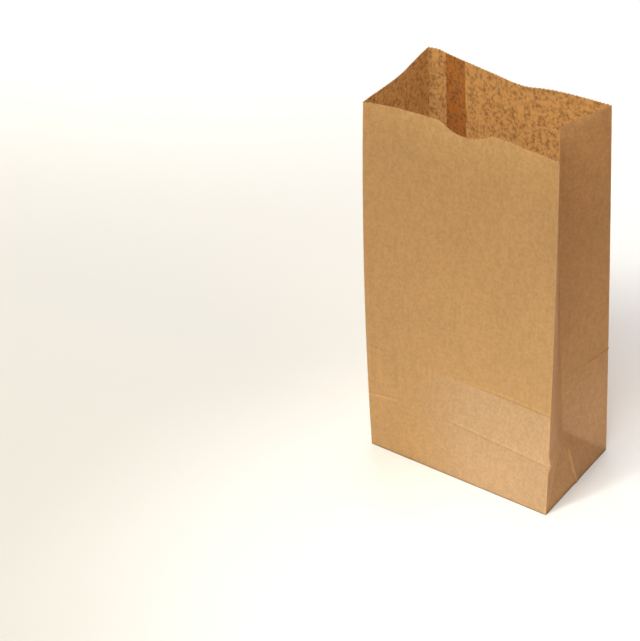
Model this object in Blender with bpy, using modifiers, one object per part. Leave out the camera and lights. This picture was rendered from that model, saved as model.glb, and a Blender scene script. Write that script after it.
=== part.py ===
"""Brown kraft paper lunch bag, folded and glued from one sheet, standing open on its base.

The sheet is one layer thick on the walls. It is two layers thick along the side lap inside the
back wall, and two flaps are glued one over the other under the base. Metres, +Z up. The front
wall, with the thumb notch in its rim, faces -Y, and the two gussets are on -X and +X.
"""
import math

import bmesh
import bpy
from mathutils import Vector

# Driving dimensions.
WIDTH = 0.129
DEPTH = 0.075
HEIGHT = 0.251
PAPER = 0.00012

# Flat pattern: the side lap, the overlap of the base flaps and the saw-toothed rim.
LAP_WIDTH = 0.0155
LAP_FROM_FOLD = 0.013
FLAP_OVERLAP = 0.020
TOOTH_PITCH = 0.0025
TOOTH_DEPTH = 0.0008

# Thumb notch in the front rim, an arc through its two corners and its lowest point.
NOTCH_WIDTH = 0.034
NOTCH_DEPTH = 0.006
NOTCH_CENTRE_X = 0.0017
NOTCH_SIDES = 96

# Creases left on the front wall by the flat bag's folded base: its fold, which stands proud and
# has a crumpled knuckle at the right corner, and the print of its edge, which is sunk.
FOLD_HEIGHT = 0.040
FOLD_PROUD = 0.0006
PRINT_HEIGHT = 0.078
PRINT_SUNK = 0.0004
CREASE_REACH = 0.009
KNUCKLE_OUT = 0.0018

# Gussets: each has a triangle on the base whose tip is the foot of the centre crease.
TIP_HEIGHT = DEPTH / 2
GUSSET_LEAN = math.radians(15.8)
RIDGE_PROUD = 0.0006
GUSSET_STEPS = 4

# The four upright folds at the corners and the two centre creases of the gussets, each as its
# place at the rim and how far it bellies from a straight line at half its height (X, Y).
CORNER_RIM = {
    "front_left": (-0.0624, -0.0362),
    "front_right": (0.0660, -0.0358),
    "back_right": (0.0599, 0.0330),
    "back_left": (-0.0667, 0.0383),
}
CORNER_BELLY = {
    "front_left": (-0.0018, -0.0010),
    "front_right": (0.0002, 0.0012),
    "back_right": (0.0009, -0.0008),
    "back_left": (-0.0006, 0.0004),
}
CREASE_RIM = {"left": (-0.0620, 0.0011), "right": (0.0472, -0.0029)}
CREASE_BELLY = {"left": (0.0012, 0.0), "right": (-0.0010, 0.0)}

# How far each wide wall bows in at the rim, by its place across the wall from its left fold.
FRONT_BOW = [
    (0.0, 0.0), (0.08, 0.0026), (0.2, 0.0045), (0.5, 0.0050), (0.7, 0.0045), (0.8, 0.0031), (1.0, 0.0),
]
BACK_BOW = [
    (0.0, 0.0), (0.05, -0.0011), (0.12, 0.0006), (0.24, 0.0028), (0.42, 0.0062),
    (0.58, 0.0086), (0.64, 0.0062), (0.7, 0.0040), (0.82, 0.0018), (1.0, 0.0),
]
BOW_DECAY = 1.7

# Columns across a wide wall and rows above the gusset tips, for the sheet's facets.
WALL_STEPS = 20
UPPER_ROWS = [
    FOLD_HEIGHT, 0.048, 0.062, PRINT_HEIGHT, 0.092, 0.110, 0.130, 0.150, 0.170, 0.190, 0.208, 0.225, 0.240,
]

NARROWEST_COLUMN = 0.3 / WALL_STEPS

BASE_LEVEL = 2 * PAPER
FLAP_LENGTH = DEPTH / 2 + FLAP_OVERLAP / 2
FLAP_TUCK = 2 * PAPER
LAP_SPAN = (LAP_FROM_FOLD / WIDTH, (LAP_FROM_FOLD + LAP_WIDTH) / WIDTH)
CORNER_BASE = {
    "front_left": (-WIDTH / 2, -DEPTH / 2),
    "front_right": (WIDTH / 2, -DEPTH / 2),
    "back_right": (WIDTH / 2, DEPTH / 2),
    "back_left": (-WIDTH / 2, DEPTH / 2),
}


def curve_through(points, x):
    """Height at x of a smooth curve through the points, each slope set by its neighbours."""
    last = len(points) - 1
    i = 0
    while i < last - 1 and x > points[i + 1][0]:
        i += 1
    (x0, y0), (x1, y1) = points[i], points[i + 1]
    before, after = points[max(i - 1, 0)], points[min(i + 2, last)]
    slope_0 = (y1 - before[1]) / (x1 - before[0])
    slope_1 = (after[1] - y0) / (after[0] - x0)
    span = x1 - x0
    k = (x - x0) / span
    ease = k * k * (3 - 2 * k)
    lift = slope_0 * span * k * (1 - k) ** 2 - slope_1 * span * k * k * (1 - k)
    return y0 + (y1 - y0) * ease + lift


def upright_line(base, rim, belly, height, foot=0.0):
    """Place of an upright fold at a height on the sheet, from its foot to the rim."""
    k = (height - foot) / (HEIGHT - foot)
    swell = 4 * k * (1 - k)
    x = base[0] + (rim[0] - base[0]) * k + belly[0] * swell
    y = base[1] + (rim[1] - base[1]) * k + belly[1] * swell
    return Vector((x, y, BASE_LEVEL + (HEIGHT - BASE_LEVEL) * height / HEIGHT))


def crease(height, at):
    """How much a level crease shows at a height: 1 along it, and 0 where its reach ends."""
    return max(0.0, 1 - abs(height - at) / CREASE_REACH)


def corner(name, height):
    """Place of a corner fold, with the crumpled knuckle that the front right one has."""
    place = upright_line(CORNER_BASE[name], CORNER_RIM[name], CORNER_BELLY[name], height)
    if name == "front_right":
        place.x += KNUCKLE_OUT * crease(height, FOLD_HEIGHT)
    return place


def triangle_point(side, across, height):
    """Place on a gusset's base triangle, with across from -1 at the front fold to 1 at the back."""
    sign = 1 if side == "right" else -1
    ridge = RIDGE_PROUD * (1 - abs(across)) * math.sin(math.pi * height / TIP_HEIGHT)
    x = sign * (WIDTH / 2 - height * math.sin(GUSSET_LEAN) + ridge)
    return Vector((x, across * DEPTH / 2, BASE_LEVEL + height * math.cos(GUSSET_LEAN)))


def crease_point(side, height):
    """Place of a gusset's centre crease above its triangle."""
    tip = triangle_point(side, 0, TIP_HEIGHT)
    place = upright_line(tip, CREASE_RIM[side], CREASE_BELLY[side], height, TIP_HEIGHT)
    k = (height - TIP_HEIGHT) / (HEIGHT - TIP_HEIGHT)
    place.z = tip.z + (HEIGHT - tip.z) * k
    return place


def gusset_point(side, end, inward, height):
    """Place on one half of a gusset, with inward from 0 at the corner fold to 1 at the crease."""
    sign = -1 if end == "front" else 1
    if height < inward * TIP_HEIGHT:
        return triangle_point(side, sign * (1 - inward), height)
    outer = corner(end + "_" + side, height)
    if height >= TIP_HEIGHT:
        return outer.lerp(crease_point(side, height), inward)
    reach = height / TIP_HEIGHT
    if reach == 0:
        return outer
    return outer.lerp(triangle_point(side, sign * (1 - reach), height), inward / reach)


def wall_point(end, across, height):
    """Place on the front or back wall, with across from 0 at the left fold to 1 at the right."""
    place = corner(end + "_left", height).lerp(corner(end + "_right", height), across)
    bow = curve_through(FRONT_BOW if end == "front" else BACK_BOW, across)
    inward = 1 if end == "front" else -1
    place.y += inward * bow * (height / HEIGHT) ** BOW_DECAY
    if end == "front":
        sunk = PRINT_SUNK * crease(height, PRINT_HEIGHT) - FOLD_PROUD * crease(height, FOLD_HEIGHT)
        place.y += sunk * math.sin(math.pi * across)
    return place


def wall_columns():
    """Fractions across a wide wall, where a column too near an edge of the side lap gives way to it."""
    columns = [i / WALL_STEPS for i in range(WALL_STEPS + 1)]
    columns = [u for u in columns if min(abs(u - edge) for edge in LAP_SPAN) > NARROWEST_COLUMN]
    return sorted(columns + list(LAP_SPAN))


def sheet_rows():
    """Heights of the facet rows, from the base fold to the rim."""
    lower = [TIP_HEIGHT * i / GUSSET_STEPS for i in range(GUSSET_STEPS + 1)]
    return lower + UPPER_ROWS + [HEIGHT]


def around_the_bag():
    """The columns once round the bag: each a function from height to place, and its gusset step.

    The step counts inwards from the corner fold, and is None on the wide walls.
    """
    columns = []
    for u in wall_columns()[:-1]:
        columns.append((lambda h, u=u: wall_point("front", u, h), 0 if u == 0 else None))
    columns += gusset_columns("right", "front", range(GUSSET_STEPS))
    columns += gusset_columns("right", "back", range(GUSSET_STEPS, 0, -1))
    for u in reversed(wall_columns()):
        columns.append((lambda h, u=u: wall_point("back", u, h), 0 if u in (0, 1) else None))
    columns += gusset_columns("left", "back", range(1, GUSSET_STEPS))
    columns += gusset_columns("left", "front", range(GUSSET_STEPS, 0, -1))
    return columns


def gusset_columns(side, end, steps):
    """Columns of one half of a gusset, at these steps inwards from its corner fold."""
    return [(lambda h, v=i / GUSSET_STEPS: gusset_point(side, end, v, h), i) for i in steps]


def loft(bm, columns, rows, closed):
    """Stretch faces over the columns and rows, and give back the grid of vertices."""
    grid = [[bm.verts.new(column(height)) for height in rows] for column in columns]
    count = len(grid) if closed else len(grid) - 1
    for i in range(count):
        here, there = grid[i], grid[(i + 1) % len(grid)]
        for j in range(len(rows) - 1):
            bm.faces.new([here[j], there[j], there[j + 1], here[j + 1]])
    return grid


def fold_triangles(bm, grid, steps):
    """Lay the slanting folds of the base triangles along the facets' diagonals."""
    for i in range(len(grid)):
        here, there = steps[i - 1], steps[i]
        if here is None or there is None or abs(here - there) != 1:
            continue
        bmesh.ops.connect_verts(bm, verts=[grid[i - 1][here], grid[i][there]])


def saw_tooth(bm, rim_edges):
    """Cut the rim into teeth of one pitch, with the valleys below the rim."""
    for edge in rim_edges:
        start = edge.verts[0].co.copy()
        teeth = max(1, round(edge.calc_length() / TOOTH_PITCH))
        made = bmesh.ops.subdivide_edges(bm, edges=[edge], cuts=2 * teeth - 1)
        inner = [v for v in made["geom_inner"] if isinstance(v, bmesh.types.BMVert)]
        inner.sort(key=lambda v: (v.co - start).length)
        for valley in inner[::2]:
            valley.co.z -= TOOTH_DEPTH


def sheet_mesh():
    """The outer face of the folded sheet: the walls, the gussets and the base, open at the rim."""
    bm = bmesh.new()
    columns, steps = zip(*around_the_bag())
    grid = loft(bm, columns, sheet_rows(), closed=True)
    fold_triangles(bm, grid, steps)
    bm.faces.new([column[0] for column in reversed(grid)])
    rim = [bm.edges.get((grid[i][-1], grid[(i + 1) % len(grid)][-1])) for i in range(len(grid))]
    saw_tooth(bm, rim)
    bmesh.ops.triangulate(bm, faces=list(bm.faces), ngon_method="BEAUTY")
    return finished_mesh(bm, "bag_sheet")


def lap_mesh():
    """The second layer of the side lap, inside the back wall, from the base to below the teeth."""
    bm = bmesh.new()
    top = HEIGHT - TOOTH_DEPTH - PAPER
    rows = [PAPER / 2] + sheet_rows()[1:-1] + [top]
    spread = [u for u in wall_columns() if LAP_SPAN[0] <= u <= LAP_SPAN[1]]
    shift = Vector((0, -PAPER / 2, 0))
    columns = [lambda h, u=u: wall_point("back", u, h) + shift for u in reversed(spread)]
    loft(bm, columns, rows, closed=False)
    bmesh.ops.triangulate(bm, faces=list(bm.faces))
    return finished_mesh(bm, "side_lap")


def flap_mesh(name, sign, level):
    """One base flap: a slab from its fold at the front (-1) or back (1), with ends cut at 45 degrees.

    Its underside is at level, and its top ends inside the base sheet, at a depth of its own.
    """
    half_near = WIDTH / 2 - FLAP_TUCK
    half_far = WIDTH / 2 - FLAP_LENGTH
    near = sign * (DEPTH / 2 - FLAP_TUCK)
    far = sign * (DEPTH / 2 - FLAP_LENGTH)
    top = BASE_LEVEL + PAPER / 2 + level / 4
    bm = bmesh.new()
    outline = [(-half_near, near), (half_near, near), (half_far, far), (-half_far, far)]
    face = bm.faces.new([bm.verts.new((x, y, level)) for x, y in outline])
    raised = bmesh.ops.extrude_face_region(bm, geom=[face], use_keep_orig=True)
    lift = [v for v in raised["geom"] if isinstance(v, bmesh.types.BMVert)]
    bmesh.ops.translate(bm, verts=lift, vec=(0, 0, top - level))
    bmesh.ops.recalc_face_normals(bm, faces=list(bm.faces))
    return finished_mesh(bm, name)


def finished_mesh(bm, name):
    """Hand a finished bmesh over to a new mesh."""
    mesh = bpy.data.meshes.new(name)
    bm.to_mesh(mesh)
    bm.free()
    return mesh


def kraft_paper():
    """Brown kraft paper: matt, warm mid brown."""
    material = bpy.data.materials.new("kraft_paper")
    material.use_nodes = True
    shader = material.node_tree.nodes["Principled BSDF"]
    shader.inputs["Base Color"].default_value = (0.54, 0.29, 0.115, 1)
    shader.inputs["Roughness"].default_value = 0.85
    shader.inputs["Metallic"].default_value = 0.0
    return material


def new_collection(name):
    collection = bpy.data.collections.new(name)
    bpy.context.scene.collection.children.link(collection)
    return collection


def add_object(name, mesh, collection):
    thing = bpy.data.objects.new(name, mesh)
    collection.objects.link(thing)
    return thing


def add_helper(name, mesh, collection):
    """A solid that only shapes the bag: it is drawn as wire and left out of renders."""
    helper = add_object(name, mesh, collection)
    helper.hide_render = True
    helper.display_type = "WIRE"
    return helper


def thicken(thing, thickness):
    """Give an outer face its paper, inwards."""
    solidify = thing.modifiers.new("paper", "SOLIDIFY")
    solidify.thickness = thickness
    solidify.offset = -1
    solidify.use_even_offset = True


def combine(thing, other, operation):
    """Join the other solid to this one, or cut it away."""
    boolean = thing.modifiers.new(other.name, "BOOLEAN")
    boolean.operation = operation
    boolean.solver = "EXACT"
    boolean.object = other


def notch_cutter(collection):
    """A short round bar through the front rim, whose arc is the thumb notch."""
    radius = (NOTCH_WIDTH ** 2 / 4 + NOTCH_DEPTH ** 2) / (2 * NOTCH_DEPTH)
    bm = bmesh.new()
    bmesh.ops.create_cone(
        bm, cap_ends=True, segments=NOTCH_SIDES, radius1=radius, radius2=radius, depth=DEPTH / 3
    )
    cutter = add_helper("thumb_notch", finished_mesh(bm, "thumb_notch"), collection)
    cutter.rotation_euler = (math.radians(90), 0, 0)
    cutter.location = (NOTCH_CENTRE_X, -DEPTH / 2, HEIGHT - NOTCH_DEPTH + radius)
    return cutter


def centre_on_its_box(bag, objects):
    """Shift everything so that the bag's box is centred on the origin."""
    xs = [v.co.x for v in bag.data.vertices]
    ys = [v.co.y for v in bag.data.vertices]
    shift = Vector((-(min(xs) + max(xs)) / 2, -(min(ys) + max(ys)) / 2, 0))
    for thing in objects:
        thing.location += shift


def main():
    for thing in list(bpy.data.objects):
        bpy.data.objects.remove(thing)
    parts = new_collection("paper_lunch_bag")
    helpers = new_collection("bag_shaping")

    bag = add_object("paper_bag", sheet_mesh(), parts)
    bag.data.materials.append(kraft_paper())
    lap = add_helper("side_lap", lap_mesh(), helpers)
    back_flap = add_helper("back_flap", flap_mesh("back_flap", 1, PAPER), helpers)
    front_flap = add_helper("front_flap", flap_mesh("front_flap", -1, 0), helpers)
    notch = notch_cutter(helpers)
    centre_on_its_box(bag, [bag, lap, back_flap, front_flap, notch])

    thicken(bag, PAPER)
    thicken(lap, 1.5 * PAPER)
    for layer in (lap, back_flap, front_flap):
        combine(bag, layer, "UNION")
    combine(bag, notch, "DIFFERENCE")


main()
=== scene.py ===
"""Looks of the brown kraft paper lunch bag, standing open on its base.

The bag is made as it really is: one blank lies flat and is creased, its edges are cut, and each
point of it is then folded to its place and given the paper's thickness. Metres, +Z up.
"""
import math

import bmesh
import bpy
from mathutils import Matrix, Vector, noise


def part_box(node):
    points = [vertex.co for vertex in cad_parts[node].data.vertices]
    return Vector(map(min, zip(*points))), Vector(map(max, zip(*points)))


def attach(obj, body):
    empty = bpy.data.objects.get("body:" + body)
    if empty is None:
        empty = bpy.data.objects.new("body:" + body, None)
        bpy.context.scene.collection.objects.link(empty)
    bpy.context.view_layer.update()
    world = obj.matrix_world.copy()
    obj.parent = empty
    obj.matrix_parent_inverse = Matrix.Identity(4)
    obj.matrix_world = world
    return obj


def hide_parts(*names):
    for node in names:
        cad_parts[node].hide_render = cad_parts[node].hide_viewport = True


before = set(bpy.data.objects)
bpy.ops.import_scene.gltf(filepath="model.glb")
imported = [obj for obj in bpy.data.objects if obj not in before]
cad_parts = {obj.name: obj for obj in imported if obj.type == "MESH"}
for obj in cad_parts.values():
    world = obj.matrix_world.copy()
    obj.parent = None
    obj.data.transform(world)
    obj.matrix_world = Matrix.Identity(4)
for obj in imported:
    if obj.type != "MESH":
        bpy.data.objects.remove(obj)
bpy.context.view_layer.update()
BAG_LOW, BAG_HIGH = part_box("paper_bag")

# The blank: widths of its panels, and where the upright folds lie along the wrap.
WIDTH = 0.129
DEPTH = 0.075
HEIGHT = BAG_HIGH.z - BAG_LOW.z
HALF = DEPTH / 2
PAPER = 0.00012
LAP = 0.0155
LAP_TO_FOLD = 0.013
FLAP_OVERLAP = 0.010
FLAP = HALF + FLAP_OVERLAP
BACK_LEFT = LAP + LAP_TO_FOLD
LEFT_CREASE = BACK_LEFT + HALF
FRONT_LEFT = LEFT_CREASE + HALF
FRONT_RIGHT = FRONT_LEFT + WIDTH
RIGHT_CREASE = FRONT_RIGHT + HALF
BACK_RIGHT = RIGHT_CREASE + HALF
BLANK_END = BACK_RIGHT + WIDTH - LAP_TO_FOLD
UPRIGHT_FOLDS = (BACK_LEFT, LEFT_CREASE, FRONT_LEFT, FRONT_RIGHT, RIGHT_CREASE, BACK_RIGHT)

# Facets of the flat blank: its columns, and its rows as the height where each zone starts and their
# spacing there. Close lines beside each fold keep it crisp.
COLUMN = 0.0025
CREASE_ROW = 0.0005
LOWER_ROW = 0.00125
UPPER_ROW = 0.0025
ROW_ZONES = [
    (0.0, LOWER_ROW), (0.036, CREASE_ROW), (0.048, LOWER_ROW), (0.072, CREASE_ROW), (0.084, UPPER_ROW),
]
FOLD_SOFTNESS = 0.00035
WEAR_LINE = 0.0009
MERGE = 0.00001

# Cut edges: saw teeth, and the thumb notch in the front rim.
TOOTH_DEPTH = 0.0008
NOTCH_WIDTH = 0.034
NOTCH_DEPTH = 0.006
NOTCH_OFF_CENTRE = 0.0017
NOTCH_CENTRE = FRONT_LEFT + WIDTH / 2 + NOTCH_OFF_CENTRE
NOTCH_REACH = 0.030

# Where one layer of paper lies on another: the slopes up to it, and how proud the lap stands.
LAYER_SLOPE = LAP_TO_FOLD / 4
FLAP_SLOPE = LAP_TO_FOLD / 3
LAP_PROUD = 1.2 * PAPER

# How the bag stands: each upright fold's place at the foot and at the rim, and its belly at half
# height (X, Y). GUSSET_LEAN is how far a gusset's base triangle leans in from upright.
CORNER_FOOT = {
    "front_left": (-WIDTH / 2, -HALF),
    "front_right": (WIDTH / 2, -HALF),
    "back_right": (WIDTH / 2, HALF),
    "back_left": (-WIDTH / 2, HALF),
}
CORNER_RIM = {
    "front_left": (-0.0624, -0.0362),
    "front_right": (0.0660, -0.0358),
    "back_right": (0.0599, 0.0330),
    "back_left": (-0.0667, 0.0383),
}
CORNER_BELLY = {
    "front_left": (-0.0018, -0.0010),
    "front_right": (0.0002, 0.0012),
    "back_right": (0.0009, -0.0008),
    "back_left": (-0.0006, 0.0004),
}
CREASE_RIM = {"left": (-0.0620, 0.0011), "right": (0.0472, -0.0029)}
CREASE_BELLY = {"left": (0.0012, 0.0), "right": (-0.0010, 0.0)}
GUSSET_LEAN = math.radians(15.8)

# The ridge up the middle of each base triangle, and the shallow pocket at the triangle's tip.
RIDGE_PROUD = 0.0008
RIDGE_SHARPNESS = 0.0012
RIDGE_TOP = 0.026
RIDGE_FADE = 0.004
TIP_POCKET = 0.0008
TIP_SPREAD = 0.0025
TIP_FADE = 0.005

# How far each wide wall bows in at the rim, by its place across the wall from its left fold.
FRONT_BOW = [
    (0.0, 0.0), (0.08, 0.0026), (0.2, 0.0045), (0.5, 0.0050), (0.7, 0.0045), (0.8, 0.0031), (1.0, 0.0),
]
BACK_BOW = [
    (0.0, 0.0), (0.05, -0.0011), (0.12, 0.0006), (0.24, 0.0028), (0.42, 0.0062),
    (0.58, 0.0086), (0.64, 0.0062), (0.7, 0.0040), (0.82, 0.0018), (1.0, 0.0),
]
BOW_DECAY = 1.7

# Creases that the flat bag's folded base left on the front wall, as height by place across. Each is
# pressed in at the left and raised at the right. Here and below, a pair of numbers is where something
# starts and ends its fade: across a wall or a gusset they are shares of its width.
PRINT_CREASE = [(0.0, 0.0788), (0.3, 0.0778), (0.6, 0.0769), (1.0, 0.0755)]
PRINT_PRESSED = 0.00038
PRINT_RAISED = 0.00045
PRINT_NEAR_FADE = (0.10, 0.16)
PRINT_FAR_FADE = (0.28, 0.36)
PRINT_FAR_SHARE = 0.4
PRINT_RISE = (0.52, 0.68)
FOLD_CREASE = [(0.0, 0.0407), (0.15, 0.0436), (0.36, 0.0446), (0.57, 0.0429), (0.8, 0.0410), (1.0, 0.0389)]
FOLD_PRESSED = 0.00070
FOLD_RAISED = 0.00055
FOLD_FADE = (0.12, 0.2)
FOLD_RISE = (0.38, 0.52)
CREASE_REACH = 0.0013

# Between the two creases the wall leans in at the top and out at the bottom. CREASE_END is the share
# of the wall's width over which its creases die away beside each corner fold.
CREASE_END = 0.012
LEAN_STEP = 0.0010
LEAN_RISE = (0.2, 0.7)
LEAN_IN_SPREAD = 0.016
LEAN_OUT_SPREAD = 0.014

# The dent between the creases: its edge, as distance across by height, and the heights where it fades
# in and out. The knuckle is a crumple of the front right fold.
DENT_LINE = [(0.0558, 0.0219), (0.0637, 0.0224), (0.0709, 0.0211), (0.0786, 0.0176)]
DENT_DEPTH = 0.0004
DENT_REACH = 0.003
DENT_FOOT = (0.050, 0.058)
DENT_HEAD = (0.076, 0.079)
KNUCKLE_OUT = 0.0018
KNUCKLE_HEIGHT = 0.0389
KNUCKLE_REACH = 0.007

# The flap edge's print on the right gusset's back half, and the small wrinkle at its foot.
IMPRINT_HEIGHT = 0.0817
IMPRINT_FALL = 0.0055
IMPRINT_PROUD = 0.0008
IMPRINT_REACH = 0.0014
IMPRINT_FADE = (0.35, 0.8)
WRINKLE_INWARD = 0.010
WRINKLE_TOP = 0.0075
WRINKLE_PROUD = 0.0003
WRINKLE_REACH = 0.0006

# Slow waves in the paper: height, waves to the metre along the wrap and up the bag, and a place in
# the noise. They die away beside the upright folds and at the base.
WAVES = [(0.00060, 28, 9, 1.7), (0.00034, 75, 45, 5.1)]
CALM_BY_FOLD = 0.006
CALM_BY_BASE = 0.02


# ---------------------------------------------------------------- curves


def ease(x, start, end):
    """0 before start, 1 after end, and smooth between them."""
    k = min(1.0, max(0.0, (x - start) / (end - start)))
    return k * k * (3 - 2 * k)


def bell(x, centre, spread):
    """A smooth bump, 1 at the centre, that has died away about two spreads from it."""
    return math.exp(-((x - centre) / spread) ** 2)


def cusp(x, reach):
    """A sharp crease's section: 1 at the line, with a corner there, and dying away on both sides."""
    return math.exp(-abs(x) / reach)


def curve_through(points, x):
    """Height at x of a smooth curve through the points, each slope set by its neighbours."""
    last = len(points) - 1
    i = 0
    while i < last - 1 and x > points[i + 1][0]:
        i += 1
    (x0, y0), (x1, y1) = points[i], points[i + 1]
    before, after = points[max(i - 1, 0)], points[min(i + 2, last)]
    slope_0 = (y1 - before[1]) / (x1 - before[0])
    slope_1 = (after[1] - y0) / (after[0] - x0)
    span = x1 - x0
    k = (x - x0) / span
    lift = slope_0 * span * k * (1 - k) ** 2 - slope_1 * span * k * k * (1 - k)
    return y0 + (y1 - y0) * k * k * (3 - 2 * k) + lift


# ---------------------------------------------------------------- how the blank folds up


def upright_line(foot, rim, belly, height, start=0.0):
    """Place of an upright fold at a height up the sheet."""
    k = (height - start) / (HEIGHT - start)
    swell = 4 * k * (1 - k)
    x = foot[0] + (rim[0] - foot[0]) * k + belly[0] * swell
    y = foot[1] + (rim[1] - foot[1]) * k + belly[1] * swell
    return Vector((x, y, height))


def corner(name, height):
    """Place of a corner fold, with the crumpled knuckle of the front right one."""
    place = upright_line(CORNER_FOOT[name], CORNER_RIM[name], CORNER_BELLY[name], height)
    if name == "front_right":
        place.x += KNUCKLE_OUT * max(0.0, 1 - abs(height - KNUCKLE_HEIGHT) / KNUCKLE_REACH)
    return place


def ridge_at(height):
    """How much of a base triangle's ridge is there at a height, from 1 at the foot to 0 above its top."""
    return 1 - ease(height, RIDGE_TOP - RIDGE_FADE, RIDGE_TOP)


def triangle_point(side, across, height):
    """Place on a gusset's base triangle, with across from -1 at the front fold to 1 at the back."""
    sign = 1 if side == "right" else -1
    off = across * HALF
    ridge = RIDGE_PROUD * cusp(off, RIDGE_SHARPNESS) * ridge_at(height)
    ridge -= TIP_POCKET * bell(off, 0, TIP_SPREAD) * ease(height, RIDGE_TOP, RIDGE_TOP + TIP_FADE)
    x = sign * (WIDTH / 2 - height * math.sin(GUSSET_LEAN) + ridge)
    return Vector((x, off, height * math.cos(GUSSET_LEAN)))


def crease_point(side, height):
    """Place of a gusset's centre crease above its triangle."""
    tip = triangle_point(side, 0, HALF)
    place = upright_line(tip, CREASE_RIM[side], CREASE_BELLY[side], height, HALF)
    place.z = tip.z + (HEIGHT - tip.z) * (height - HALF) / (HEIGHT - HALF)
    return place


def gusset_point(side, end, inward, height):
    """Place on one half of a gusset, with inward from 0 at the corner fold to 1 at the crease."""
    sign = -1 if end == "front" else 1
    if height < inward * HALF:
        return triangle_point(side, sign * (1 - inward), height)
    outer = corner(end + "_" + side, height)
    if height >= HALF:
        return outer.lerp(crease_point(side, height), inward)
    reach = height / HALF
    if reach == 0:
        return outer
    return outer.lerp(triangle_point(side, sign * (1 - reach), height), inward / reach)


def wall_point(end, across, height):
    """Place on the front or back wall, with across from 0 at the left fold to 1 at the right."""
    place = corner(end + "_left", height).lerp(corner(end + "_right", height), across)
    bow = curve_through(FRONT_BOW if end == "front" else BACK_BOW, across)
    inward = 1 if end == "front" else -1
    place.y += inward * bow * (height / HEIGHT) ** BOW_DECAY
    return place


def base_point(s, depth):
    """Place on the base: the end tucks lie inside, on the back flap, and the front flap is outermost."""
    tuck_height = 2 * PAPER * ease(depth, 0, LAYER_SLOPE)
    if BACK_LEFT < s < FRONT_LEFT:
        return Vector((-WIDTH / 2 + depth, LEFT_CREASE - s, tuck_height))
    if FRONT_RIGHT < s < BACK_RIGHT:
        return Vector((WIDTH / 2 - depth, s - RIGHT_CREASE, tuck_height))
    if FRONT_LEFT <= s <= FRONT_RIGHT:
        return Vector((s - FRONT_LEFT - WIDTH / 2, depth - HALF, 0))
    across = BACK_LEFT - s if s <= BACK_LEFT else WIDTH - (s - BACK_RIGHT)
    overlap = HALF - FLAP_OVERLAP
    return Vector((across - WIDTH / 2, HALF - depth, PAPER * ease(depth, overlap - FLAP_SLOPE, overlap)))


def folded(s, h):
    """Place of the blank's point that lies s along the wrap and h above the base fold."""
    if h < 0:
        return base_point(s, -h)
    if s < BACK_LEFT:
        place = wall_point("back", (BACK_LEFT - s) / WIDTH, h)
        place.y -= LAP_PROUD * (1 - ease(s, LAP, LAP + LAYER_SLOPE))
        return place
    if s < LEFT_CREASE:
        return gusset_point("left", "back", (s - BACK_LEFT) / HALF, h)
    if s < FRONT_LEFT:
        return gusset_point("left", "front", (FRONT_LEFT - s) / HALF, h)
    if s < FRONT_RIGHT:
        return wall_point("front", (s - FRONT_LEFT) / WIDTH, h)
    if s < RIGHT_CREASE:
        return gusset_point("right", "front", (s - FRONT_RIGHT) / HALF, h)
    if s < BACK_RIGHT:
        return gusset_point("right", "back", (BACK_RIGHT - s) / HALF, h)
    return wall_point("back", 1 - (s - BACK_RIGHT) / WIDTH, h)


# ---------------------------------------------------------------- the blank, flat


def add_panel(bm, left, right, low, high, row):
    """Lay one flat panel of the blank as a grid."""
    centre = Vector(((left + right) / 2, (low + high) / 2, 0))
    size = Matrix.Diagonal((right - left, high - low, 1, 1))
    bmesh.ops.create_grid(
        bm,
        x_segments=round((right - left) / COLUMN),
        y_segments=round((high - low) / row),
        size=0.5,
        matrix=Matrix.Translation(centre) @ size,
    )


def cut_line(bm, point, normal, left, right, low, high, clear=False):
    """Score a straight line across the faces in a rectangle, or cut off what lies past it there."""
    centres = [(f, f.calc_center_median()) for f in bm.faces]
    faces = [f for f, c in centres if left < c.x < right and low < c.y < high]
    edges = dict.fromkeys(e for f in faces for e in f.edges)
    verts = dict.fromkeys(v for f in faces for v in f.verts)
    bmesh.ops.bisect_plane(
        bm,
        geom=[*faces, *edges, *verts],
        dist=MERGE / 10,
        plane_co=point,
        plane_no=normal,
        clear_outer=clear,
    )


def score_folds(bm):
    """Add the close lines beside each fold, and the slanting folds of the two base triangles."""
    for fold in UPRIGHT_FOLDS:
        for side in (-WEAR_LINE, -FOLD_SOFTNESS, FOLD_SOFTNESS, WEAR_LINE):
            cut_line(bm, (fold + side, 0, 0), (1, 0, 0), 0, BLANK_END, 0, HEIGHT)
    for side in (-CREASE_ROW, CREASE_ROW):
        wrinkle = BACK_RIGHT - WRINKLE_INWARD + side
        cut_line(bm, (wrinkle, 0, 0), (1, 0, 0), 0, BLANK_END, 0, WRINKLE_TOP)
    for side in (-FOLD_SOFTNESS, FOLD_SOFTNESS):
        cut_line(bm, (0, side, 0), (0, 1, 0), 0, BLANK_END, -FLAP, HEIGHT)
    for crease in (LEFT_CREASE, RIGHT_CREASE):
        cut_line(bm, (crease, HALF, 0), (1, 1, 0), crease, crease + HALF, 0, HALF)
        cut_line(bm, (crease, HALF, 0), (-1, 1, 0), crease - HALF, crease, 0, HALF)


def cut_flap_ends(bm):
    """Cut the ends of the two base flaps at 45 degrees."""
    for left, right in ((FRONT_LEFT, FRONT_RIGHT), (BACK_RIGHT, BACK_RIGHT + WIDTH)):
        middle = (left + right) / 2
        cut_line(bm, (left, 0, 0), (-1, -1, 0), left, middle, -FLAP, 0, clear=True)
        cut_line(bm, (right, 0, 0), (1, -1, 0), middle, right, -FLAP, 0, clear=True)
    cut_line(bm, (BACK_LEFT, 0, 0), (1, -1, 0), 0, BACK_LEFT, -FLAP, 0, clear=True)


def cut_teeth(bm, level, depth):
    """Cut the edges at a level into saw teeth, one for each column."""
    edges = [e for e in bm.edges if e.is_boundary and all(abs(v.co.y - level) < MERGE for v in e.verts)]
    made = bmesh.ops.subdivide_edges(bm, edges=edges, cuts=1)
    for v in made["geom_inner"]:
        if isinstance(v, bmesh.types.BMVert):
            v.co.y += depth


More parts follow.
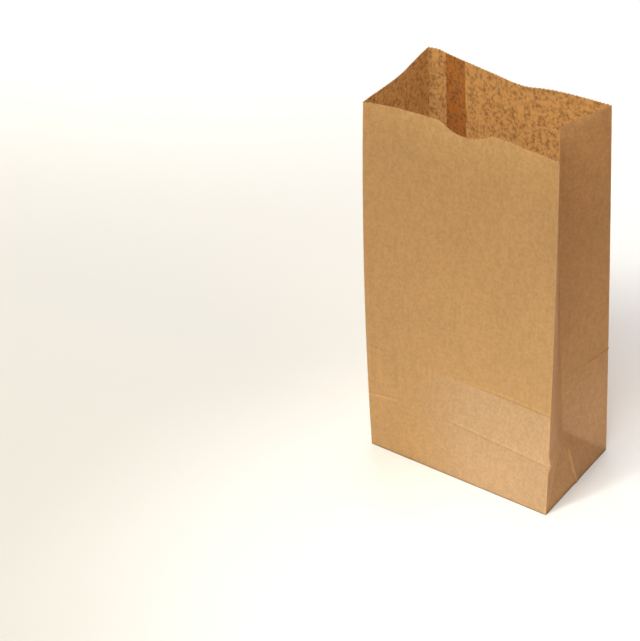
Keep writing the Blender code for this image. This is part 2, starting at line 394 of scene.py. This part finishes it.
def cut_notch(bm):
    """Lower the front rim to the arc of the thumb notch."""
    radius = (NOTCH_WIDTH ** 2 / 4 + NOTCH_DEPTH ** 2) / (2 * NOTCH_DEPTH)
    for side in (-1, 1):
        corner_x = NOTCH_CENTRE + side * NOTCH_WIDTH / 2
        cut_line(bm, (corner_x, 0, 0), (1, 0, 0), 0, BLANK_END, HEIGHT - NOTCH_REACH, HEIGHT)
    for v in bm.verts:
        off = v.co.x - NOTCH_CENTRE
        if abs(off) < NOTCH_WIDTH / 2 and v.co.y > HEIGHT - NOTCH_REACH:
            drop = math.sqrt(radius ** 2 - off ** 2) - (radius - NOTCH_DEPTH)
            v.co.y -= drop * ease(v.co.y, HEIGHT - NOTCH_REACH, HEIGHT)


def flat_blank():
    """The whole blank, flat, with its folds scored and its edges cut."""
    bm = bmesh.new()
    stops = [0, LAP, *UPRIGHT_FOLDS, BLANK_END]
    for left, right in zip(stops, stops[1:]):
        if left > 0:
            add_panel(bm, left, right, -FLAP, 0, COLUMN)
        tops = [low for low, _ in ROW_ZONES[1:]] + [HEIGHT]
        for (low, row), high in zip(ROW_ZONES, tops):
            add_panel(bm, left, right, low, high, row)
    bmesh.ops.remove_doubles(bm, verts=bm.verts, dist=MERGE)
    cut_teeth(bm, HEIGHT, -TOOTH_DEPTH)
    cut_teeth(bm, -FLAP, TOOTH_DEPTH)
    score_folds(bm)
    cut_flap_ends(bm)
    cut_notch(bm)
    return bm


# ---------------------------------------------------------------- creases, dents and waves


def print_crease(across):
    """How deep the print's crease is on the front wall: pressed in at the left, raised at the right."""
    pressed = (1 - PRINT_FAR_SHARE) * (1 - ease(across, *PRINT_NEAR_FADE))
    pressed += PRINT_FAR_SHARE * (1 - ease(across, *PRINT_FAR_FADE))
    return -PRINT_PRESSED * pressed + PRINT_RAISED * ease(across, *PRINT_RISE)


def fold_crease(across):
    """How deep the base fold's old crease is on the front wall."""
    return -FOLD_PRESSED * (1 - ease(across, *FOLD_FADE)) + FOLD_RAISED * ease(across, *FOLD_RISE)


def dent_place(across, h):
    """How far a point of the front wall lies right of the dent's edge, and how much of the dent is there."""
    off = across * WIDTH - curve_through(DENT_LINE, h)
    return off, ease(h, *DENT_FOOT) * (1 - ease(h, *DENT_HEAD))


def front_relief(across, h):
    """How far the front wall stands out of its smooth place, in metres."""
    print_line = curve_through(PRINT_CREASE, across)
    fold_line = curve_through(FOLD_CREASE, across)
    relief = print_crease(across) * cusp(h - print_line, CREASE_REACH)
    relief += fold_crease(across) * cusp(h - fold_line, CREASE_REACH)
    lean = LEAN_STEP * ease(across, *LEAN_RISE)
    relief -= lean * bell(h, print_line, LEAN_IN_SPREAD)
    relief += lean * bell(h, fold_line, LEAN_OUT_SPREAD)
    off, shown = dent_place(across, h)
    return relief - DENT_DEPTH * shown * cusp(off, DENT_REACH)


def imprint_line(inward):
    """Height of the flap edge's print, by the share of the way from the back fold to the crease."""
    return IMPRINT_HEIGHT - IMPRINT_FALL * inward


def gusset_relief(inward, h):
    """The print of the flap's edge on the right gusset's back half, and a small wrinkle at its foot."""
    shown = 1 - ease(inward, *IMPRINT_FADE)
    relief = IMPRINT_PROUD * shown * cusp(h - imprint_line(inward), IMPRINT_REACH)
    foot = ease(h, 0, LOWER_ROW) * (1 - ease(h, 0, WRINKLE_TOP))
    return relief + WRINKLE_PROUD * cusp(inward * HALF - WRINKLE_INWARD, WRINKLE_REACH) * foot


def relief_at(s, h):
    """How far the sheet stands out of its smooth place at a point of the blank."""
    if h < 0:
        return 0.0
    along = s + BACK_RIGHT + WIDTH - BACK_LEFT if s < BACK_LEFT else s
    wave = sum(
        high * noise.noise(Vector((along * by_wrap, h * by_height, place)))
        for high, by_wrap, by_height, place in WAVES
    )
    wave *= min(1.0, min(abs(s - fold) for fold in UPRIGHT_FOLDS) / CALM_BY_FOLD) * ease(h, 0, CALM_BY_BASE)
    if FRONT_LEFT < s < FRONT_RIGHT:
        across = (s - FRONT_LEFT) / WIDTH
        return wave + front_relief(across, h) * ease(min(across, 1 - across), 0, CREASE_END)
    if RIGHT_CREASE < s < BACK_RIGHT:
        return wave + gusset_relief((BACK_RIGHT - s) / HALF, h)
    return wave


# ---------------------------------------------------------------- wear and painted light and shade on the skin

# Painted light across a crease: how strong its painted highlight on the lip and its line of painted shade
# under it are, and how far each lies from the crease, above it and below it.
PRINT_PAINTED_LIGHT = {"light": 0.10, "light_at": 0.0009, "dark": 0.12, "dark_at": 0.0005}
FOLD_PAINTED_LIGHT = {"light": 0.072, "light_at": 0.0009, "dark": 0.126, "dark_at": 0.0004}
IMPRINT_PAINTED_LIGHT = {"light": 0.06, "light_at": 0.0012, "dark": 0.22, "dark_at": 0.0003}
HIGHLIGHT_SPREAD = 0.0008
SHADE_SPREAD = 0.0007
# Painted shade in the print crease where it is pressed in.
PRINT_PRESSED_SHADE = 0.10
# Painted shade beside the dent: how strong, and its centre and spread from the dent's edge.
DENT_SHADE = 0.05
DENT_SHADE_PLACE = (-0.001, 0.002)

# A painted shadow along the foot, painted shade on the base triangles' back and front halves, and a painted
# highlight along their ridge.
FOOT_SHADOW = 0.50
FOOT_SHADOW_SPREAD = 0.0009
TRIANGLE_SHADE = 0.09
TRIANGLE_FRONT_SHARE = 0.4
TRIANGLE_EDGE = (-0.0004, 0.0008)
RIDGE_HIGHLIGHT = 0.30
FOLD_SPREAD = 0.0006

# A painted pale sheen, standing in for the white floor's light reflected low on the front wall and on the
# right gusset's back half.
FLOOR_SHEEN_TONE = 0.05
FLOOR_SHEEN_RISE = (0.22, 0.60)
FLOOR_SHEEN_TOP = (-0.002, 0.0)
GUSSET_FLOOR_SHEEN = 0.6
GUSSET_FLOOR_SHEEN_TOP = (-0.030, 0.0)
GUSSET_FLOOR_SHEEN_EDGE = (-0.0008, 0.0004)

# How softly the glued lap's tint ends at its edge.
SEAM_EDGE = 0.0003


def fold_wear_and_highlight_at(s, h):
    """How much a point lies on an upright fold, where the skin is rubbed lighter and a painted highlight
    stands in for the rounded fold catching light.
    """
    return max(bell(s, fold, FOLD_SPREAD) for fold in UPRIGHT_FOLDS)


def glued_at(s, h):
    """1 where the lap lies glued on the back wall's other edge, and 0 elsewhere."""
    return 1 - ease(s, LAP - SEAM_EDGE, LAP + SEAM_EDGE)


def above_slant(s, h):
    """How far a gusset's point lies above its base triangle's slanting fold."""
    return h - (HALF - abs(s - RIGHT_CREASE))


def floor_sheen_at(s, h):
    """How much painted pale sheen a point gets: on the front wall below the print crease, growing to the
    right, and on the right gusset's back half below the flap edge's print.
    """
    if FRONT_LEFT < s < FRONT_RIGHT:
        across = (s - FRONT_LEFT) / WIDTH
        above = h - curve_through(PRINT_CREASE, across)
        return ease(across, *FLOOR_SHEEN_RISE) * (1 - ease(above, *FLOOR_SHEEN_TOP))
    if RIGHT_CREASE < s < BACK_RIGHT:
        above = h - imprint_line((BACK_RIGHT - s) / HALF)
        under_print = 1 - ease(above, *GUSSET_FLOOR_SHEEN_TOP)
        return GUSSET_FLOOR_SHEEN * under_print * ease(above_slant(s, h), *GUSSET_FLOOR_SHEEN_EDGE)
    return 0.0


def crease_highlight_and_shade(above, light, light_at, dark, dark_at):
    """Painted tone across a crease: a painted highlight on its lip, and a line of painted shade under it."""
    return light * bell(above, light_at, HIGHLIGHT_SPREAD) - dark * bell(above, -dark_at, SHADE_SPREAD)


def front_painted_light(across, h):
    """Painted light of the front wall: highlights and shade along its creases, and shade in its dent."""
    above_print = h - curve_through(PRINT_CREASE, across)
    above_fold = h - curve_through(FOLD_CREASE, across)
    print_share = print_crease(across) / PRINT_RAISED
    mark = print_share * crease_highlight_and_shade(above_print, **PRINT_PAINTED_LIGHT)
    mark -= PRINT_PRESSED_SHADE * max(0, -print_share) * bell(above_print, 0, SHADE_SPREAD)
    mark += fold_crease(across) / FOLD_RAISED * crease_highlight_and_shade(above_fold, **FOLD_PAINTED_LIGHT)
    off, shown = dent_place(across, h)
    return mark - DENT_SHADE * shown * bell(off, *DENT_SHADE_PLACE)


def gusset_painted_light(s, h):
    """Painted shade on the right gusset's base triangle, a painted highlight on its ridge, and painted
    highlight and shade along the print on its back half.
    """
    mark = RIDGE_HIGHLIGHT * bell(s, RIGHT_CREASE, FOLD_SPREAD) * ridge_at(h)
    triangle_shade = TRIANGLE_SHADE * ease(-above_slant(s, h), *TRIANGLE_EDGE)
    if s <= RIGHT_CREASE:
        return mark - TRIANGLE_FRONT_SHARE * triangle_shade
    inward = (BACK_RIGHT - s) / HALF
    shown = 1 - ease(inward, *IMPRINT_FADE)
    return mark - triangle_shade + shown * crease_highlight_and_shade(h - imprint_line(inward), **IMPRINT_PAINTED_LIGHT)


def crease_painted_light(s, h):
    """How much lighter, or below 0 darker, the skin is painted: highlights and shade along the creases, shade
    in the dent and on the base triangle, a highlight on its ridge, a pale sheen low on the front wall and
    right gusset, and a shadow along the foot.
    """
    if FRONT_LEFT < s < FRONT_RIGHT:
        mark = front_painted_light((s - FRONT_LEFT) / WIDTH, h)
    elif FRONT_RIGHT < s < BACK_RIGHT:
        mark = gusset_painted_light(s, h)
    else:
        return 0.0
    return mark + FLOOR_SHEEN_TONE * floor_sheen_at(s, h) - FOOT_SHADOW * bell(h, 0, FOOT_SHADOW_SPREAD)


# ---------------------------------------------------------------- the bag


# Attributes of the skin: rubbed folds that also carry a painted highlight, the painted light and shade of the
# creases, the painted pale sheen, and the glued lap.
SKIN_LAYERS = [
    ("fold_wear_and_highlight", fold_wear_and_highlight_at), ("crease_painted_light", crease_painted_light), ("pressed", floor_sheen_at), ("glued", glued_at),
]
CREASE_ANGLE = math.radians(50)


def paint_blank(bm):
    """Store the flat blank's coordinates as its UV map, and the wear, glue and painted light and shade on its
    skin as attributes.
    """
    uv_map = bm.loops.layers.uv.new("blank")
    for face in bm.faces:
        for loop in face.loops:
            loop[uv_map].uv = (loop.vert.co.x, loop.vert.co.y + FLAP)
    for name, tone_at in SKIN_LAYERS:
        layer = bm.verts.layers.float.new(name)
        for v in bm.verts:
            v[layer] = tone_at(v.co.x, v.co.y)


def fold_up(bm):
    """Fold the blank, ease its upright folds a little, and press its creases and waves into it."""
    flat = [v.co.copy() for v in bm.verts]
    for v, (s, h, _) in zip(bm.verts, flat):
        v.co = folded(s, h)
    on_fold = [min(abs(s - fold) for fold in UPRIGHT_FOLDS) < MERGE for s, _, _ in flat]
    folds = [v for v, here in zip(bm.verts, on_fold) if here]
    bmesh.ops.smooth_vert(bm, verts=folds, factor=0.5, use_axis_x=True, use_axis_y=True)
    bm.normal_update()
    out = [v.normal.copy() for v in bm.verts]
    for v, (s, h, _), normal in zip(bm.verts, flat, out):
        v.co += normal * relief_at(s, h)


def centre_on_frame(bm):
    """Slide the bag so that its middle lies over the middle of the frame's solid."""
    centre = (BAG_LOW + BAG_HIGH) / 2
    xs = [v.co.x for v in bm.verts]
    ys = [v.co.y for v in bm.verts]
    shift = Vector((centre.x - (min(xs) + max(xs)) / 2, centre.y - (min(ys) + max(ys)) / 2, BAG_LOW.z))
    bmesh.ops.translate(bm, verts=bm.verts, vec=shift)


def folded_bag():
    """The bag as one folded sheet, still without thickness."""
    bm = flat_blank()
    paint_blank(bm)
    fold_up(bm)
    centre_on_frame(bm)
    mesh = bpy.data.meshes.new("lunch_bag")
    bm.to_mesh(mesh)
    bm.free()
    bag = bpy.data.objects.new("lunch_bag", mesh)
    bpy.context.scene.collection.objects.link(bag)
    return bag


def give_thickness(bag):
    """Solidify the folded sheet inwards, with its own finish on the inner face and the cut edges."""
    paper = bag.modifiers.new("paper", "SOLIDIFY")
    paper.thickness = PAPER
    paper.offset = -1
    paper.material_offset = 1
    paper.material_offset_rim = 2
    solid = bpy.data.meshes.new_from_object(bag.evaluated_get(bpy.context.evaluated_depsgraph_get()))
    bag.modifiers.clear()
    bag.data = solid
    solid.shade_smooth()
    solid.set_sharp_from_angle(angle=CREASE_ANGLE)


# ---------------------------------------------------------------- finishes

# Colours of the pulp where it is thick and thin, and the share of light that passes into the sheet there.
OUTSIDE = {"dark": (0.535, 0.302, 0.117), "pale": (0.635, 0.370, 0.148), "thick": 0.18, "thin": 0.22}
# The inside is a lit and shaded copy of the same kraft: its pale clouds are painted light shining through the
# sheet, and its dark ones are painted shade.
INSIDE_PAINTED_LIGHT = {"dark": (0.38, 0.160, 0.035), "pale": (0.98, 0.760, 0.460), "thick": 0.35, "thin": 1.0}
# The cut edge's colour: pale pulp, and partly a painted highlight.
EDGE_PALE_AND_HIGHLIGHT = (0.68, 0.44, 0.24)
GLUED_TINT = (0.98, 0.92, 0.85)
# Tint of the painted pale sheen: whiter and bluer than the kraft.
FLOOR_SHEEN_TINT = (0.99, 1.07, 1.36)
GLOW_COLOUR = (1.0, 0.79, 0.47)

# Grain of the kraft, as features to the metre along the wrap and up the bag.
CLOUDS = (460, 400)
BLOTS = (190, 150)
PATCHES = (42, 24)
STREAKS = (420, 60)
FIBRES_RISING = (2600, 420, math.radians(16))
FIBRES_FALLING = (2900, 520, math.radians(-27))
DARK_SPECKS = (1500, 1100)
LIGHT_SPECKS = (900, 1700)
FRAY = (1800, 1800)

# How much each of them shades the paper, and the stretches of noise that make pulp and specks.
# The first share is how strongly the painted highlights, shade, sheen and foot shadow change the paper's
# tone.
PAINTED_LIGHT_SHARE = 1.4
PATCH_SHARE = 0.14
STREAK_SHARE = 0.14
FIBRE_SHARE = 0.30
LIGHT_SPECK_SHARE = 0.14
DARK_SPECK_SHARE = 0.16
FOLD_WEAR_AND_HIGHLIGHT_SHARE = 0.35
CLOUD_SHARE = 0.75
PULP_RANGE = (0.41, 0.59)
DARK_SPECK_RANGE = (0.76, 0.84)
LIGHT_SPECK_RANGE = (0.78, 0.86)


class Socket:
    """A node's output, whose arithmetic adds Math nodes."""

    def __init__(self, finish, plug):
        self.finish = finish
        self.plug = plug

    def maths(self, operation, first, second):
        """One Math node on two values or sockets."""
        return self.finish.add("ShaderNodeMath", {"operation": operation}, {0: first, 1: second})

    def __add__(self, other):
        return self.maths("ADD", self, other)

    def __sub__(self, other):
        return self.maths("SUBTRACT", self, other)

    def __rsub__(self, other):
        return self.maths("SUBTRACT", other, self)

    def __mul__(self, other):
        return self.maths("MULTIPLY", self, other)

    __radd__ = __add__
    __rmul__ = __mul__


class Finish:
    """One material under construction."""

    def __init__(self, name):
        self.material = bpy.data.materials.new(name)
        self.material.use_nodes = True
        self.tree = self.material.node_tree
        self.tree.nodes.clear()

    def add(self, kind, settings, inputs, output=0):
        """Add a node with its settings, feed its sockets, and hand back one output."""
        node = self.tree.nodes.new(kind)
        for name, setting in settings.items():
            setattr(node, name, setting)
        for name, feed in inputs.items():
            if isinstance(feed, Socket):
                self.tree.links.new(feed.plug, node.inputs[name])
            else:
                node.inputs[name].default_value = feed
        return Socket(self, node.outputs[output] if node.outputs else None)

    def stretched(self, place, along, up, turn=0.0):
        """The blank's coordinates, in features to the metre along the wrap and up the bag."""
        return self.add(
            "ShaderNodeMapping", {}, {"Vector": place, "Rotation": (0, 0, turn), "Scale": (along, up, 1)}
        )

    def grain(self, place, detail=3.0, roughness=0.5):
        """Soft noise from 0 to 1."""
        return self.add(
            "ShaderNodeTexNoise", {"noise_dimensions": "2D"},
            {"Vector": place, "Scale": 1.0, "Detail": detail, "Roughness": roughness},
        )

    def between(self, value, low, high, out_low=0.0, out_high=1.0):
        """The value, spread from one range to another and held inside it."""
        return self.add(
            "ShaderNodeMapRange", {},
            {"Value": value, "From Min": low, "From Max": high, "To Min": out_low, "To Max": out_high},
        )

    def painted(self, name):
        """One of the wear attributes of the bag's skin."""
        return self.add("ShaderNodeAttribute", {"attribute_name": name}, {}, output="Fac")

    def mix(self, share, first, second, blend="MIX"):
        """Two colours mixed by a share from 0 to 1."""
        return self.add(
            "ShaderNodeMix", {"data_type": "RGBA", "blend_type": blend},
            {0: share, 6: first, 7: second}, output=2,
        )


def kraft(name, dark, pale, thick, thin):
    """Kraft paper: clouds of pulp, streaks up the bag, fibres and specks, on a sheet that lets light in, with
    the painted light, shade and sheen carried by the bag's attributes.

    dark and pale are the colours of its thick and thin clouds of pulp. thick and thin are the shares
    of the light that pass into the sheet there.
    """
    paint = Finish(name)
    blank = paint.add("ShaderNodeUVMap", {"uv_map": "blank"}, {})
    clouds = paint.grain(paint.stretched(blank, *CLOUDS), detail=6.0, roughness=0.75)
    patches = paint.grain(paint.stretched(blank, *PATCHES))
    blots = paint.grain(paint.stretched(blank, *BLOTS), detail=2.0)
    streaks = paint.grain(paint.stretched(blank, *STREAKS))
    rising = paint.grain(paint.stretched(blank, *FIBRES_RISING), detail=2.0, roughness=0.6)
    falling = paint.grain(paint.stretched(blank, *FIBRES_FALLING), detail=2.0, roughness=0.6)
    fibres = rising * 0.5 + falling * 0.5
    dark_specks = paint.grain(paint.stretched(blank, *DARK_SPECKS), detail=0.0)
    light_specks = paint.grain(paint.stretched(blank, *LIGHT_SPECKS), detail=0.0)
    pulp = clouds * CLOUD_SHARE + blots * (1 - CLOUD_SHARE)

    shade = (
        1.0
        # Painted highlights, shade, sheen and foot shadow from the skin's attribute.
        + paint.painted("crease_painted_light") * PAINTED_LIGHT_SHARE
        + (patches - 0.5) * PATCH_SHARE
        + (streaks - 0.5) * STREAK_SHARE
        + (fibres - 0.5) * FIBRE_SHARE
        + paint.between(light_specks, *LIGHT_SPECK_RANGE) * LIGHT_SPECK_SHARE
        - paint.between(dark_specks, *DARK_SPECK_RANGE) * DARK_SPECK_SHARE
    )
    grey = paint.add("ShaderNodeCombineColor", {}, {0: shade, 1: shade, 2: shade})
    hue = paint.mix(paint.between(pulp, *PULP_RANGE), (*dark, 1), (*pale, 1))
    skin = paint.mix(1.0, hue, grey, "MULTIPLY")
    # Painted pale sheen: the white floor's reflected light, low on the front wall and the right gusset.
    skin = paint.mix(paint.painted("pressed"), skin, (*FLOOR_SHEEN_TINT, 1), "MULTIPLY")
    skin = paint.mix(paint.painted("glued"), skin, (*GLUED_TINT, 1), "MULTIPLY")
    # Upright folds: rubbed lighter, and partly a painted highlight of the rounded fold.
    rubbed_and_highlit = tuple(min(1.0, channel * 1.12 + 0.02) for channel in pale)
    colour = paint.mix(paint.painted("fold_wear_and_highlight") * FOLD_WEAR_AND_HIGHLIGHT_SHARE, skin, (*rubbed_and_highlit, 1))

    height = fibres * 0.8 + streaks * 0.2
    bump = paint.add("ShaderNodeBump", {}, {"Strength": 0.25, "Distance": 0.00004, "Height": height})
    paper = paint.add(
        "ShaderNodeBsdfPrincipled", {},
        {
            "Base Color": colour, "Roughness": paint.between(fibres, 0.3, 0.7, 0.50, 0.68),
            "Metallic": 0.0, "Specular IOR Level": 0.5, "Normal": bump,
        },
    )
    glow = paint.add("ShaderNodeBsdfTranslucent", {}, {"Color": (*GLOW_COLOUR, 1)})
    sheet = paint.add(
        "ShaderNodeMixShader", {}, {0: paint.between(pulp, *PULP_RANGE, thick, thin), 1: paper, 2: glow},
    )
    paint.add("ShaderNodeOutputMaterial", {}, {"Surface": sheet})
    return paint.material


def cut_edge(name, colour):
    """The cut edge of the sheet, where its pulp shows pale and frayed; its paler colour is partly a painted
    highlight of the cut fibres catching light.
    """
    paint = Finish(name)
    blank = paint.add("ShaderNodeUVMap", {"uv_map": "blank"}, {})
    fray = paint.grain(paint.stretched(blank, *FRAY))
    paler_and_highlit = tuple(min(1.0, channel * 1.25) for channel in colour)
    paper = paint.add(
        "ShaderNodeBsdfPrincipled", {},
        {"Base Color": paint.mix(fray, (*colour, 1), (*paler_and_highlit, 1)), "Roughness": 0.9},
    )
    paint.add("ShaderNodeOutputMaterial", {}, {"Surface": paper})
    return paint.material


# ---------------------------------------------------------------- floor, light and camera

FLOOR_REACH = 1.6
ROOM_LIGHT = 0.03
CAMERA_FROM = Vector((0.51962, -0.84421, 0.81203))
CAMERA_YAW = math.radians(37.577)
CAMERA_PITCH = math.radians(35.614)
CAMERA_ROLL = math.radians(-3.192)
CAMERA_LENS = 112.06
CAMERA_SENSOR = 36.0
CAMERA_NEAR = 0.01
SOFTBOX_SIZE = 1.0
POOL_LAMP_SIZE = 0.1
BAG_MIDDLE = (0, 0, 0.1)


def add_camera():
    """A long lens from the front right, looking down on the bag."""
    camera = bpy.data.objects.new("camera", bpy.data.cameras.new("camera"))
    bpy.context.scene.collection.objects.link(camera)
    camera.data.lens = CAMERA_LENS
    camera.data.sensor_width = CAMERA_SENSOR
    camera.data.clip_start = CAMERA_NEAR
    turn = Matrix.Rotation(CAMERA_YAW, 4, "Z")
    tip = Matrix.Rotation(math.radians(90) - CAMERA_PITCH, 4, "X")
    roll = Matrix.Rotation(CAMERA_ROLL, 4, "Z")
    camera.matrix_world = Matrix.Translation(CAMERA_FROM) @ turn @ tip @ roll
    bpy.context.scene.camera = camera


def add_floor():
    """A plain white floor, out to well past the view."""
    bm = bmesh.new()
    bmesh.ops.create_circle(bm, cap_ends=True, segments=96, radius=FLOOR_REACH)
    mesh = bpy.data.meshes.new("floor")
    bm.to_mesh(mesh)
    bm.free()
    floor = bpy.data.objects.new("floor", mesh)
    bpy.context.scene.collection.objects.link(floor)
    paint = Finish("floor_white")
    white = paint.add("ShaderNodeBsdfPrincipled", {}, {"Base Color": (0.95, 0.95, 0.95, 1), "Roughness": 0.6})
    paint.add("ShaderNodeOutputMaterial", {}, {"Surface": white})
    floor.data.materials.append(paint.material)


def place_lamp(name, light, place, aim):
    """Stand a light at a place and aim it at a point."""
    lamp = bpy.data.objects.new(name, light)
    bpy.context.scene.collection.objects.link(lamp)
    look = (Vector(aim) - Vector(place)).to_track_quat("-Z", "Y").to_matrix().to_4x4()
    lamp.matrix_world = Matrix.Translation(place) @ look
    lamp.visible_camera = False


def add_softbox(name, place, power, colour=(1, 1, 1), aim=BAG_MIDDLE, size=SOFTBOX_SIZE):
    """A square soft light aimed at a point."""
    light = bpy.data.lights.new(name, "AREA")
    light.shape = "SQUARE"
    light.size = size
    light.energy = power
    light.color = colour
    place_lamp(name, light, place, aim)


def add_pool(name, place, aim, spread, power, colour=(1, 1, 1)):
    """A soft round pool of light on the floor, its spread in degrees. Near the bag it lights its foot."""
    light = bpy.data.lights.new(name, "SPOT")
    light.spot_size = math.radians(spread)
    light.spot_blend = 1.0
    light.shadow_soft_size = POOL_LAMP_SIZE
    light.energy = power
    light.color = colour
    place_lamp(name, light, place, aim)


def light_the_room():
    """Soft lights round the bag, pools of light on the floor, and a white backdrop.

    Only the camera sees the backdrop at full strength, so it adds little light of its own.
    """
    world = bpy.data.worlds.new("room")
    world.use_nodes = True
    nodes, links = world.node_tree.nodes, world.node_tree.links
    seen = nodes.new("ShaderNodeLightPath")
    strength = nodes.new("ShaderNodeMath")
    strength.operation = "ADD"
    strength.inputs[1].default_value = ROOM_LIGHT
    links.new(seen.outputs["Is Camera Ray"], strength.inputs[0])
    links.new(strength.outputs[0], nodes["Background"].inputs["Strength"])
    nodes["Background"].inputs["Color"].default_value = (1, 1, 1, 1)
    bpy.context.scene.world = world
    add_softbox("front_high", (0, -1.4, 1.9), 22.5, (1.0, 0.99, 0.93))
    add_softbox("front_left", (-0.5, -1.85, 1.3), 11.7, (1.0, 0.94, 0.60))
    add_softbox("left", (-1.9, 0, 0.7), 16, (1.0, 0.86, 0.70))
    add_softbox("behind_left", (-1.2, 1.4, 0.5), 13)
    add_softbox("behind", (0, 1.9, 0.45), 13, (0.90, 0.94, 1.0), aim=(0, 0, 0.15))
    add_softbox("behind_low", (0, 0.7, 0.35), 1.5, aim=(0, 0, 0.25), size=0.35)
    add_softbox("right", (1.9, 0, 0.45), 7.0, (1.0, 0.55, 0.30), aim=(0, 0, 0.06))
    add_pool("front_pool", (-0.3, -0.9, 1.3), (0.03, -0.16, 0), 16, 42)
    add_pool("right_pool", (0.5, -1.0, 1.2), (0.14, -0.13, 0), 16, 46, (0.88, 0.96, 1.0))
    add_pool("rear_pool", (0.3, 1.0, 1.4), (-0.02, 0.25, 0), 9, 32, (0.9, 0.95, 1))
    add_pool("backdrop_pool", (-0.9, 0.7, 1.6), (-0.7, 0.5, 0), 36, 30)
    bpy.context.scene.view_settings.view_transform = "Standard"


bag = folded_bag()
bag.data.materials.append(kraft("kraft_outside", **OUTSIDE))
bag.data.materials.append(kraft("kraft_inside_painted_light", **INSIDE_PAINTED_LIGHT))
bag.data.materials.append(cut_edge("kraft_cut_edge_and_highlight", EDGE_PALE_AND_HIGHLIGHT))
give_thickness(bag)
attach(bag, "root")
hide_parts("paper_bag")

add_floor()
light_the_room()
add_camera()
